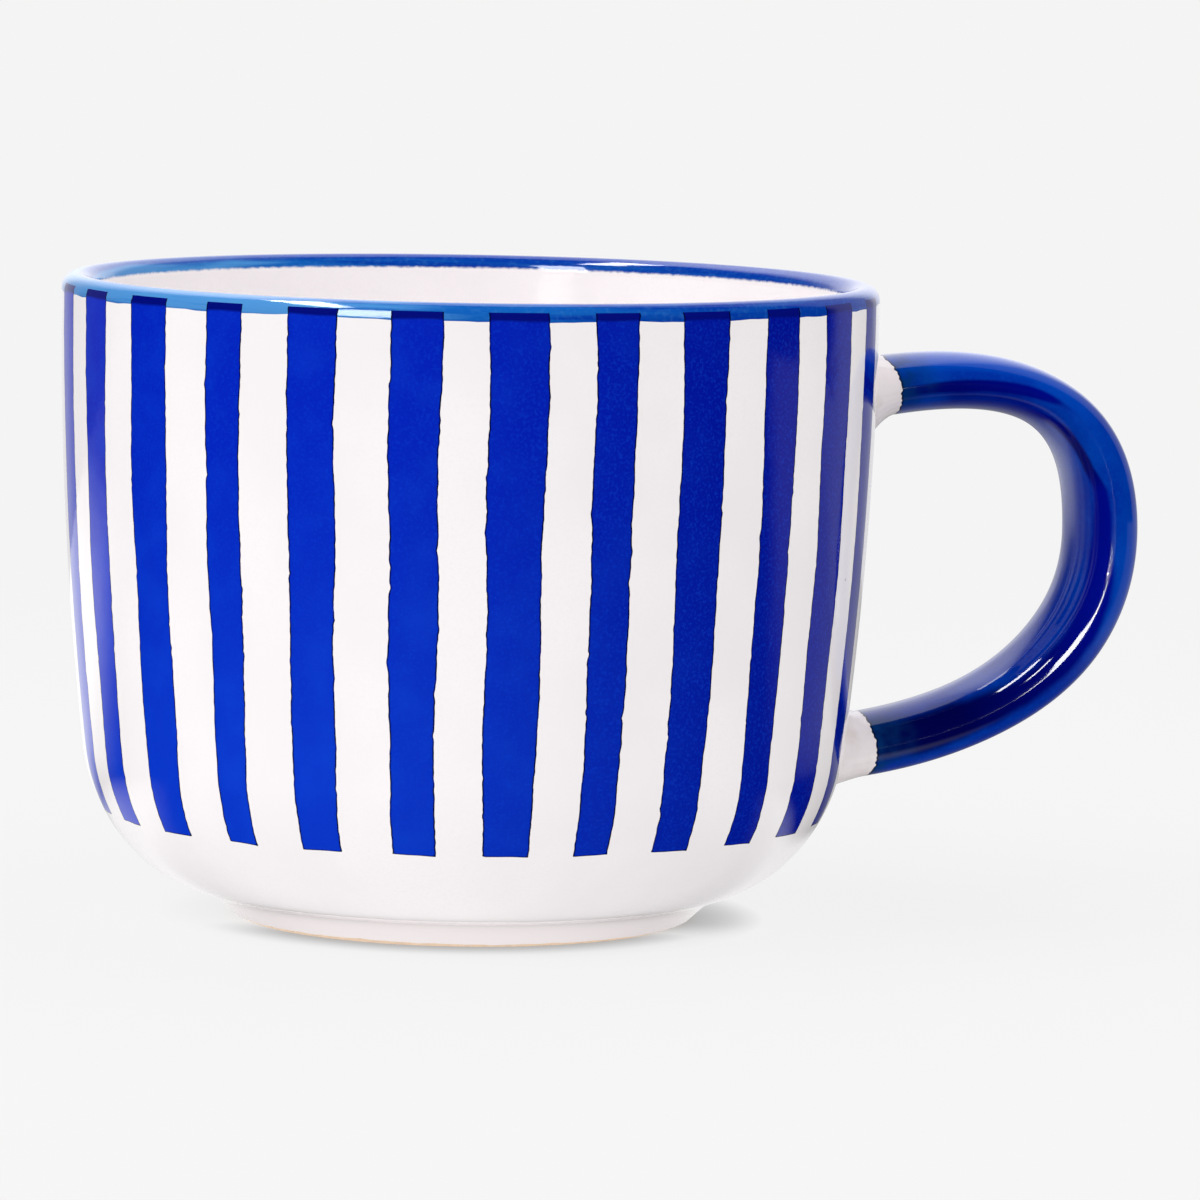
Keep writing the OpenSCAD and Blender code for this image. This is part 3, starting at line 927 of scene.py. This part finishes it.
def band_glaze(colours):
    """Thin brushed blue, deep where strokes overlap, feathered into the white inside the lip, with painted
    light away from the handle and painted shade towards it.
    """
    finish = Finish("rim_blue", colours.band_light, roughness=0.07)
    over = finish.attribute("over_lip")
    streaks = finish.noise(60, 4, stretch=(1, 1, 22))
    # Painted light and shade: paler blue away from the handle and deeper blue towards it, under the real
    # brush streaks.
    painted_shade_to_handle = finish.span(finish.along("X"), -46 * MM, 18 * MM)
    thick = finish.plus(painted_shade_to_handle, finish.span(streaks, 0.3, 0.8, -0.25, 0.25))
    finish.lay(colours.band, finish.span(thick, 0.0, 0.5))
    finish.lay(colours.band_deep, finish.span(thick, 0.5, 1.0))
    stroke = finish.plus(over, finish.clouds(35, 3, 0.2, 0.8, -0.7, 0.7))
    finish.lay(colours.band_deep, finish.times(finish.hump(stroke, -0.4, 0.3, 1.4, 2.2), 0.85))
    finish.lay(colours.band_light, finish.clouds(1500, 3, 0.45, 0.75, 0, 0.15))
    finish.lay(colours.band_deep, finish.span(over, -3.2, -3.55, 0, 0.5))
    bristles = finish.plus(over, finish.clouds(1300, 3, 0.2, 0.8, -0.1, 0.1))
    finish.lay(colours.white, finish.span(bristles, 2.75, 3.2))
    return finish.fired(streaks, 0.04 * MM)


def handle_glaze(colours):
    """Dark blue that thins to mid blue, pools along the sides, and is dulled by fingers inside the loop."""
    finish = Finish("handle_blue", colours.handle, bend=1.44)
    finish.lay(colours.handle_light, finish.clouds(90, 4, 0.4, 0.75, 0, 0.6))
    finish.lay(colours.handle_light, finish.clouds(1800, 2, 0.45, 0.8, 0, 0.3))
    finish.lay(colours.handle_light, finish.attribute("thin"))
    pooled = finish.plus(finish.attribute("pool"), finish.clouds(70, 4, 0.2, 0.8, -0.2, 0.2))
    deep = finish.mix(finish.attribute("dark"), linear(colours.handle_pool), linear(colours.handle_deep))
    finish.coats = finish.mix(finish.span(pooled, 0.25, 0.75), finish.coats, deep)
    run = finish.times(finish.attribute("near_end"), finish.clouds(260, 4, 0.3, 0.65))
    finish.lay(colours.handle_root, run)
    finish.lay(colours.handle_line, finish.attribute("outline"))
    dull = finish.span(finish.attribute("worn"), 0.1, 0.9, 0.05, 0.24)
    finish.feed(finish.surface, {"Roughness": dull, "Specular IOR Level": finish.attribute("sheen")})
    return finish.fired(finish.noise(120, 2), 0.04 * MM)


def bare_clay(colours):
    finish = Finish("clay", colours.clay, roughness=0.75)
    finish.lay([c * 1.06 for c in colours.clay], finish.clouds(700, 4, 0.3, 0.7))
    finish.lay([c * 0.72 for c in colours.clay], finish.specks(900, 0.2, 0.75))
    return finish.fired(finish.noise(2200, 3), 0.08 * MM)


def shared(maker, colours):
    """The material of a maker, made once."""
    key = maker.__name__
    if key not in shared.made:
        shared.made[key] = maker(colours)
    return shared.made[key]


shared.made = {}


# Operators

class MUG_OT_clay(bpy.types.Operator):
    """Turns the clay pot that the glazes lie on, bare at its standing ring"""
    bl_idname = "mug.clay"
    bl_label = "Clay"

    def execute(self, context):
        pot, colours = context.scene.mug_pot, context.scene.mug_colours
        shape = PotShape(pot)
        material = shared(bare_clay, colours)
        edge, glaze = pot.foot_edge, pot.glaze
        foot = pot.foot_radius - glaze
        roof = pot.hollow + glaze
        walls = [shape.foot_side(glaze, edge), *shape.side(glaze, shape.crease_turn)]
        section = thin_out([*walls, shape.lip_round(glaze), *shape.inside(glaze)])
        hollow = [(0, roof), (pot.ring_inner, roof), (pot.ring_inner, edge)]
        # Each edge of the standing ring is rounded by a point between its side and its flat
        inner_edge = [(pot.ring_inner + edge * 0.3, edge * 0.3), (pot.ring_inner + edge, 0)]
        outer_edge = [(foot - edge * 0.7, 0), (foot - edge * 0.1, edge * 0.3)]
        piece = lathe("pot_clay", [*outer_edge, *section, *hollow, *inner_edge], material)
        settle(piece, "clay", "clay_body")
        handle = frame["nodes"]["handle"].data
        handle.materials.clear()
        handle.materials.append(material)
        return {"FINISHED"}


class MUG_OT_white_coats(bpy.types.Operator):
    """Lays the white glaze: outside with windows for the stripes, inside, and in the hollow of the base"""
    bl_idname = "mug.white_coats"
    bl_label = "White coats"

    def execute(self, context):
        pot, colours = context.scene.mug_pot, context.scene.mug_colours
        material = shared(white_glaze, colours)
        grid = CoatGrid(pot, context.scene.mug_stripes)
        coat = shell("outer_coat", grid.outer, grid.inner, grid.between_stripes(0, grid.band_row), material)
        settle(coat, "white_glaze", "outer_glaze")

        shape = PotShape(pot)
        faces = [self.below_band(shape.inside(depth), pot.band_edge) for depth in (0, pot.glaze)]
        lining = lathe("inner_coat", [*faces[0], *reversed(faces[1])], material)
        settle(lining, "white_glaze", "inner_glaze")

        low, high, rim = pot.hollow, pot.hollow + pot.glaze, pot.ring_inner
        section = [(0, low), (rim / 2, low), (rim, low), (rim, high), (rim / 2, high), (0, high)]
        base = lathe("base_coat", section, material)
        settle(base, "white_glaze", "base_glaze")
        return {"FINISHED"}

    @staticmethod
    def below_band(pieces, top):
        """The inside's points from the band's edge down."""
        points = thin_out(pieces)
        radius, height = np.array(points[1::-1]).T
        below = [p for p in points if p[1] < top - 0.1 * MM]
        return [np.array([np.interp(top, height, radius), top]), *below]


class MUG_OT_stripes(bpy.types.Operator):
    """Brushes the upright stripes, flush in the white coat, each with its own uneven edges"""
    bl_idname = "mug.stripes"
    bl_label = "Stripes"

    def execute(self, context):
        scene = context.scene
        grid = CoatGrid(scene.mug_pot, scene.mug_stripes)
        material = shared(stripe_glaze, scene.mug_colours)
        outline = np.tile(grid.outline, (len(grid.rows), 1))
        # The colour has gathered along the lower ends too
        outline[grid.low_row] = np.maximum(outline[grid.low_row], 0.8)
        # The band covers the tops of the stripes, in full from a quarter of the way up
        risen = (np.arange(len(grid.rows)) - grid.band_row) / (grid.top_row - grid.band_row)
        under = np.tile(np.clip(4 * risen, 0, 1)[:, None], (1, outline.shape[1]))
        layers = {"outline": outline, "under_band": under}
        for i in range(1, scene.mug_stripes.count + 1):
            node = "stripe_%02d" % i
            piece = shell("brushed_" + node, grid.outer, grid.inner, grid.stripe_cells(i), material, layers)
            settle(piece, "stripe_blue", node)
        return {"FINISHED"}


class MUG_OT_rim_band(bpy.types.Operator):
    """Brushes the blue band over the lip, with the tops of the stripes showing through it"""
    bl_idname = "mug.rim_band"
    bl_label = "Rim band"

    def execute(self, context):
        scene = context.scene
        grid = CoatGrid(scene.mug_pot, scene.mug_stripes)
        over_lip = (grid.distance - grid.lip_top) / MM
        cells = grid.between_stripes(grid.band_row, len(grid.rows) - 1)
        material = shared(band_glaze, scene.mug_colours)
        piece = shell("lip_band", grid.outer, grid.inner, cells, material, {"over_lip": over_lip})
        settle(piece, "rim_blue", "rim_band")
        return {"FINISHED"}


class MUG_OT_collars(bpy.types.Operator):
    """Shapes the white collars of slip that spread from the handle's roots into the wall"""
    bl_idname = "mug.collars"
    bl_label = "Collars"

    def execute(self, context):
        scene = context.scene
        handle = scene.mug_handle
        material = shared(white_slip, scene.mug_colours)
        shape, q, upper, lower = handle_lines(handle, scene.mug_pot)
        for name, node, root, edge, flare, lean in (
            ("upper_collar", "upper_joint", UPPER, upper, handle.upper_flare, UPPER_LEAN),
            ("lower_collar", "lower_joint", LOWER, lower, handle.lower_flare, LOWER_LEAN),
        ):
            spread = flare * (1 - lean * np.cos(q))
            start = shape.at_wall(root, q, spread)
            t = np.linspace(0, 1, COLLAR_ROWS)[:, None]
            place = start + (edge - start) * t
            grow = spread * (1 - t) ** COLLAR_CURVE
            if root == LOWER:
                place, grow = place[::-1], grow[::-1]
            piece = sleeve(name, shape, q, place, grow, material)
            settle(piece, "white_glaze", node)
        return {"FINISHED"}


class MUG_OT_handle_coat(bpy.types.Operator):
    """Lays the dark blue glaze along the handle from collar to collar"""
    bl_idname = "mug.handle_coat"
    bl_label = "Handle coat"

    def execute(self, context):
        scene = context.scene
        shape, q, upper, lower = handle_lines(scene.mug_handle, scene.mug_pot)
        ends = np.array(list(END_LINE))
        between = np.linspace(EVEN_START, 1 - EVEN_START, HANDLE_ROWS)
        t = np.concatenate([ends, between, 1 - ends[::-1]])[:, None]
        place = upper + (lower - upper) * t
        material = shared(handle_glaze, scene.mug_colours)
        piece = sleeve("handle_coat", shape, q, place, 0 * place, material, handle_layers(place, t, q))
        settle(piece, "handle_blue", "handle_glaze")
        return {"FINISHED"}


# Stage

# Lamps: turn to the right of the camera and height above the table in degrees, width, height, lean of the
# top to the left in degrees, and radiance. The soft lamps light the mug, the others only shine in its glaze.
LAMPS = {
    "soft_key": (-55, 42, 2.4, 2.4, 0, 1.3),
    "soft_front": (-5, 9, 3.0, 1.0, 0, 0.8),
    "soft_lining": (-70, 62, 1.6, 1.6, 0, 2.7),
    "handle_overhead": (-100, 64, 2.6, 1.0, 0, 7),
    "lip_overhead": (-100, 66, 2.6, 0.5, 0, 20),
    "lip_key": (-30.5, 24, 0.9, 2.5, 0, 15),
    "handle_key": (-32, 59, 0.4, 0.95, -41, 26),
    "handle_strip": (20.5, 3, 0.32, 1.4, 46, 30),
    "handle_spot": (-4, 35, 0.24, 0.44, -57, 32),
    "handle_glint": (17, -2.5, 0.75, 0.16, 0, 30),
    "lining_window": (-26.5, -3.2, 0.7, 0.3, 0, 2),
}
LAMP_DISTANCE = 3.4

# Lamps that shine only in some pieces, with the names of the pieces
SHINES_ON = {
    "lip_overhead": "lip_band",
    "lip_key": "lip_band",
    "handle_overhead": "handle_coat",
    "handle_key": "handle_coat",
    "handle_strip": "handle_coat",
    "handle_spot": "handle_coat",
    "handle_glint": "handle_coat",
    "soft_lining": "inner_coat",
    "lining_window": "inner_coat",
}

# Lamps so low that they shine through the floor's rim
THROUGH_FLOOR = ("handle_glint", "lining_window")

# Light of the tent around the mug: its colour, and its strength at the table and overhead
TENT_COLOUR = (1, 0.99, 0.993, 1)
TENT_LOW, TENT_HIGH = 0.65, 1.44

# The bright card: half its width, its height, its colour, and how far its bright ridge leans to the left
CARD_HALF, CARD_TOP = 0.8, 1.3
CARD_COLOUR = (0.96, 0.96, 1, 1)
CARD_LEAN = 0.37

# The floor is a lit table: the share of the tent's light that it gives back, its own light, and its light on
# the mug
FLOOR_MATTE = 0.1
FLOOR_GLOW = 0.792
FLOOR_BOUNCE = 0.92
# How far the foot's shadow reaches on it
CONTACT_REACH = 5.5 * MM
# It is a disc just under the foot, with rings at shares of its radius, and fades between two more shares
FLOOR_LEVEL = -0.05 * MM
FLOOR_SIDES = 96
FLOOR_RINGS = (0.25, 0.5, 1, 2)
FADE_START, FADE_END = 0.3, 0.95


def card_finish():
    """A bright ridge that leans to the left, a level patch behind the mug, and a faint spill around them."""
    card = Finish("bright_card")
    height, aside = card.along("Z"), card.along("X")
    leaning = card.plus(aside, card.times(height, CARD_LEAN))
    ridge = card.times(card.hump(leaning, -0.34, 0.0, 0.04, 0.3), card.span(height, 0, 0.6, 0.8, 2.6))
    level = card.times(card.hump(aside, -0.3, -0.12, 0.14, 0.33), card.span(height, 0, 0.15, 0.7, 1.4))
    spill = card.times(
        card.span(aside, -0.45, -0.2, 0.1, 0.6),
        card.span(aside, 0.05, 0.3, 1, 0.6),
        card.span(aside, 0.8, 0.6),
    )
    return card.shown(card.glow(card.most(ridge, level, spill), CARD_COLOUR))


class FloorFinish(Finish):
    """The pale table, by its distances aside, behind and out from the middle of the foot."""

    def __init__(self, front, right):
        super().__init__("pale_floor")
        self.aside, self.behind = self.towards(right), self.towards(-front)
        distance = self.add("VectorMath", operation="LENGTH")
        self.feed(distance, {0: self.place})
        self.out = distance.outputs["Value"]

    def seen(self):
        """Its light for the camera, with the shadow where the foot stands."""
        contact = self.add("AmbientOcclusion")
        self.feed(contact, {"Distance": CONTACT_REACH})
        shadow = self.times(
            self.span(self.aside, -30 * MM, 30 * MM, 0.05, 0.6),
            self.span(self.behind, -22 * MM, -4 * MM, 0.15, 1),
            self.span(self.behind, 0, 35 * MM, 1, 0.5),
        )
        in_front = self.span(self.behind, -8 * MM, -22 * MM)
        edge = self.times(in_front, self.span(self.out, 40 * MM, 31 * MM, 0, 0.52))
        hidden = self.times(self.most(shadow, edge), self.without(contact.outputs["AO"]))
        return self.times(self.without(hidden), FLOOR_GLOW)

    def bounced(self):
        """Its light on the mug, stronger close to the foot and weaker under it."""
        belly = self.hump(self.behind, -25 * MM, -5 * MM, 10 * MM, 30 * MM)
        belly = self.times(belly, self.span(self.out, 60 * MM, 36 * MM, 0, 0.3))
        foot = self.span(self.behind, 5 * MM, -15 * MM)
        foot = self.times(foot, self.span(self.out, 48 * MM, 38 * MM, 0, 0.4))
        return self.times(
            self.span(self.aside, -60 * MM, 60 * MM, 1.1, 0.92),
            FLOOR_BOUNCE,
            self.plus(belly, foot, 1.0),
            self.span(self.out, 24 * MM, 34 * MM, 0.72, 1),
            self.span(self.behind, 0, 45 * MM, 1, 0.88),
        )

    def mirrored(self):
        """What shows of it in the glaze: bright far behind, around the foot and to the right, in metres."""
        sideways = self.math("ABSOLUTE", self.aside, 0.0)
        slanted = self.math("SUBTRACT", self.behind, self.times(sideways, 0.33))
        far = self.times(
            self.span(self.aside, -0.5, -0.22, 0.2, 1),
            self.span(self.aside, -0.02, 0.09, 1, 0.3),
            self.span(slanted, -0.02, 0.11, 0, 1.1),
        )
        handle = self.times(self.span(self.aside, 0.055, 0.065), self.span(self.behind, -0.006, 0.01))
        near = self.times(
            self.span(self.out, 0.11, 0.07, 0, 0.8),
            self.span(self.behind, -0.024, 0.0),
            self.without(handle),
        )
        right = self.times(self.span(self.aside, 0.1, 0.16, 0, 0.25), self.span(self.behind, -0.02, 0.04))
        return self.most(far, near, right)

    def laid(self, radius):
        """The material of a table that fades out at a radius, and is clear from below."""
        ray = self.add("LightPath").outputs
        matte = self.add("BsdfDiffuse")
        self.feed(matte, {"Color": (FLOOR_MATTE, FLOOR_MATTE, FLOOR_MATTE, 1)})
        own = self.either(ray["Is Diffuse Ray"], self.glow(self.seen()), self.glow(self.bounced()))
        lit = self.add("AddShader")
        self.feed(lit, {0: matte.outputs["BSDF"], 1: own})
        table = self.either(ray["Is Glossy Ray"], lit.outputs["Shader"], self.glow(self.mirrored()))
        faded = self.span(self.out, FADE_START * radius, FADE_END * radius)
        faded = self.times(faded, self.without(ray["Is Glossy Ray"]))
        below = self.add("NewGeometry").outputs["Backfacing"]
        clear = self.add("BsdfTransparent").outputs["BSDF"]
        return self.shown(self.either(self.most(faded, below), table, clear))


class MUG_OT_stage(bpy.types.Operator):
    """Sets the mug on a pale floor in soft studio light, in front of the camera"""
    bl_idname = "mug.stage"
    bl_label = "Stage"

    def execute(self, context):
        scene = context.scene
        studio = scene.mug_studio
        scene.view_settings.view_transform = "Standard"
        self.place_camera(scene, studio)
        self.front = Vector((-math.sin(studio.swing), -math.cos(studio.swing), 0))
        self.right = Vector((math.cos(studio.swing), -math.sin(studio.swing), 0))
        for name, lamp in LAMPS.items():
            self.hang_lamp(scene, name, *lamp)
        self.light_room(scene, linear(studio.backdrop))
        self.stand_card(studio)
        self.lay_floor(studio)
        return {"FINISHED"}

    @staticmethod
    def place_camera(scene, studio):
        aside = Vector((1, 0, 0))
        ahead = Vector((0, math.cos(studio.elevation), -math.sin(studio.elevation)))
        position = Vector((0, 0, studio.target_height)) - studio.distance * ahead
        upright = aside.cross(ahead)
        view = math.cos(studio.pan) * ahead + math.sin(studio.pan) * aside
        level = math.cos(studio.pan) * aside - math.sin(studio.pan) * ahead
        right = math.cos(studio.roll) * level + math.sin(studio.roll) * upright
        up = -math.sin(studio.roll) * level + math.cos(studio.roll) * upright
        axes = Matrix((right, up, -view)).transposed()
        data = bpy.data.cameras.new("camera")
        data.lens = studio.lens
        data.sensor_width = 36
        data.clip_start, data.clip_end = 0.05, 20
        camera = bpy.data.objects.new("camera", data)
        scene.collection.objects.link(camera)
        swing = Matrix.Rotation(-studio.swing, 4, "Z")
        camera.matrix_world = swing @ Matrix.Translation(position) @ axes.to_4x4()
        scene.camera = camera

    def hang_lamp(self, scene, name, turn_right, height, width, tall, lean, radiance):
        turned, raised = math.radians(turn_right), math.radians(height)
        level = math.cos(turned) * self.front + math.sin(turned) * self.right
        towards = math.cos(raised) * level + math.sin(raised) * Vector((0, 0, 1))
        data = bpy.data.lights.new(name, "AREA")
        data.shape = "RECTANGLE"
        data.size, data.size_y = width, tall
        data.energy = radiance * math.pi * width * tall
        lamp = bpy.data.objects.new(name, data)
        lamp.location = towards * LAMP_DISTANCE + Vector((0, 0, scene.mug_studio.target_height))
        upright = (-towards).to_track_quat("-Z", "Y")
        lamp.rotation_euler = (upright @ Quaternion((0, 0, 1), math.radians(lean))).to_euler()
        lamp.visible_camera = False
        lamp.visible_diffuse = name.startswith("soft")
        lamp.visible_glossy = not lamp.visible_diffuse
        scene.collection.objects.link(lamp)
        if name in SHINES_ON:
            pieces = bpy.data.collections.new(name + "_shines_on")
            pieces.objects.link(scene.objects[SHINES_ON[name]])
            lamp.light_linking.receiver_collection = pieces
            data.use_shadow = name not in THROUGH_FLOOR
            data.cycles.use_multiple_importance_sampling = data.use_shadow

    @staticmethod
    def light_room(scene, backdrop):
        """A pale backdrop for the camera, an even tent for the light, and a dark room for the shine."""
        scene.world = bpy.data.worlds.new("studio")
        scene.world.use_nodes = True
        room = Shading(scene.world.node_tree, "Generated")
        ray = room.add("LightPath").outputs
        tent = room.span(room.along("Z"), 0.0, 1.0, TENT_LOW, TENT_HIGH)
        light = room.glow(room.times(tent, room.without(ray["Is Glossy Ray"])), TENT_COLOUR, "Background")
        shown = room.glow(1.0, backdrop, "Background")
        room.show(room.either(ray["Is Camera Ray"], light, shown), "World Output")

    @staticmethod
    def stand_card(studio):
        """A card close behind the mug, brightest up to its left, that only shows in the glaze."""
        sides = (-CARD_HALF, CARD_HALF)
        corners = [(x, 0, 0) for x in sides] + [(x, 0, CARD_TOP) for x in reversed(sides)]
        card = make_piece("bright_card", np.array(corners), [(0, 1, 2, 3)], card_finish())
        swing = Matrix.Rotation(-studio.swing, 4, "Z")
        card.matrix_world = swing @ Matrix.Translation((0, studio.card_distance, 0))
        card.visible_camera = False
        card.visible_diffuse = False
        card.visible_shadow = False

    def lay_floor(self, studio):
        """A pale lit table that fades into the backdrop, and can be looked through from below."""
        angle = np.linspace(0, 2 * math.pi, FLOOR_SIDES, endpoint=False)
        ring = np.stack([np.cos(angle), np.sin(angle), 0 * angle], axis=1)
        rings = [share_out * studio.floor_radius * ring for share_out in FLOOR_RINGS]
        vertices = np.concatenate([[(0, 0, 0)], *rings]) + (0, 0, FLOOR_LEVEL)
        faces = []
        for first in range(1, len(vertices), FLOOR_SIDES):
            for j in range(FLOOR_SIDES):
                near, after = first + j, first + (j + 1) % FLOOR_SIDES
                inner = (0,) if first == 1 else (after - FLOOR_SIDES, near - FLOOR_SIDES)
                faces.append((*inner, near, after))
        material = FloorFinish(self.front, self.right).laid(studio.floor_radius)
        make_piece("floor", vertices, faces, material)


GROUPS = {
    "mug_pot": PotSizes,
    "mug_stripes": StripeSizes,
    "mug_handle": HandleSizes,
    "mug_colours": GlazeColours,
    "mug_studio": StudioSettings,
}
OPERATORS = (
    MUG_OT_clay,
    MUG_OT_white_coats,
    MUG_OT_stripes,
    MUG_OT_rim_band,
    MUG_OT_collars,
    MUG_OT_handle_coat,
    MUG_OT_stage,
)


class VIEW3D_PT_mug(bpy.types.Panel):
    """Sizes, colours and building steps of the mug"""
    bl_label = "Striped soup mug"
    bl_idname = "VIEW3D_PT_mug"
    bl_space_type = "VIEW_3D"
    bl_region_type = "UI"
    bl_category = "Mug"

    def draw(self, context):
        for key, group in GROUPS.items():
            box = self.layout.box()
            for name in group.__annotations__:
                box.prop(getattr(context.scene, key), name)
        for operator in OPERATORS:
            self.layout.operator(operator.bl_idname)


CLASSES = (*GROUPS.values(), *OPERATORS, VIEW3D_PT_mug)


def register():
    for cls in CLASSES:
        bpy.utils.register_class(cls)
    for key, group in GROUPS.items():
        setattr(bpy.types.Scene, key, PointerProperty(type=group))


def unregister():
    for key in GROUPS:
        delattr(bpy.types.Scene, key)
    for cls in reversed(CLASSES):
        bpy.utils.unregister_class(cls)


def main():
    register()
    bpy.ops.mug.clay()
    bpy.ops.mug.white_coats()
    bpy.ops.mug.stripes()
    bpy.ops.mug.rim_band()
    bpy.ops.mug.collars()
    bpy.ops.mug.handle_coat()
    bpy.ops.mug.stage()


if __name__ == "__main__":
    main()
